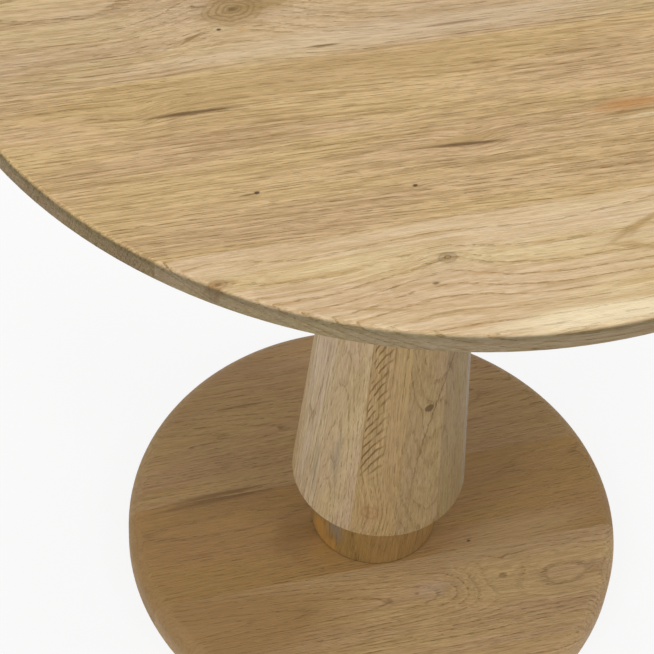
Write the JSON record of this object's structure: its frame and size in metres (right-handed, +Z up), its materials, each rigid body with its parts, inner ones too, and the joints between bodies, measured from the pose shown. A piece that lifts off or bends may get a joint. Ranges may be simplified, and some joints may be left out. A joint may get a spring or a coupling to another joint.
{
  "type": "pedestal table",
  "caption": "Round wooden pedestal table: thin glued-up disc top with a softly rounded rim, tapering column on a narrow collar, and a thick round disc base.",
  "frame": {"origin": "on the floor, at the centre of the base", "axes": "+Z up along the column; the boards of top and base run along X"},
  "size_m": [0.7499, 0.75, 0.75],
  "materials": {
    "oak_top": "oiled satin",
    "oak_column": "oiled satin",
    "oak_collar": "oiled satin",
    "oak_base": "oiled satin",
    "dowel_wood": "plain beech",
    "black_steel": "matt black powder coat",
    "screw_steel": "zinc plated",
    "bright_steel": "zinc plated",
    "felt": "pressed felt"
  },
  "bodies": {
    "root": {"base_board_1": "oak_base", "base_board_2": "oak_base", "base_board_3": "oak_base", "base_board_4": "oak_base", "base_board_5": "oak_base", "collar": "oak_collar", "column_stave_01": "oak_column", "column_stave_02": "oak_column", "column_stave_03": "oak_column", "column_stave_04": "oak_column", "column_stave_05": "oak_column", "column_stave_06": "oak_column", "column_stave_07": "oak_column", "column_stave_08": "oak_column", "column_stave_09": "oak_column", "column_stave_10": "oak_column", "column_stave_11": "oak_column", "column_stave_12": "oak_column", "felt_pads": "felt", "locating_dowels": "dowel_wood", "tie_nut": "bright_steel", "tie_rod": "bright_steel", "tie_washer": "bright_steel", "top_board_1": "oak_top", "top_board_2": "oak_top", "top_board_3": "oak_top", "top_board_4": "oak_top", "top_board_5": "oak_top", "top_plate": "black_steel", "top_screws": "screw_steel"}
  },
  "joints": []
}
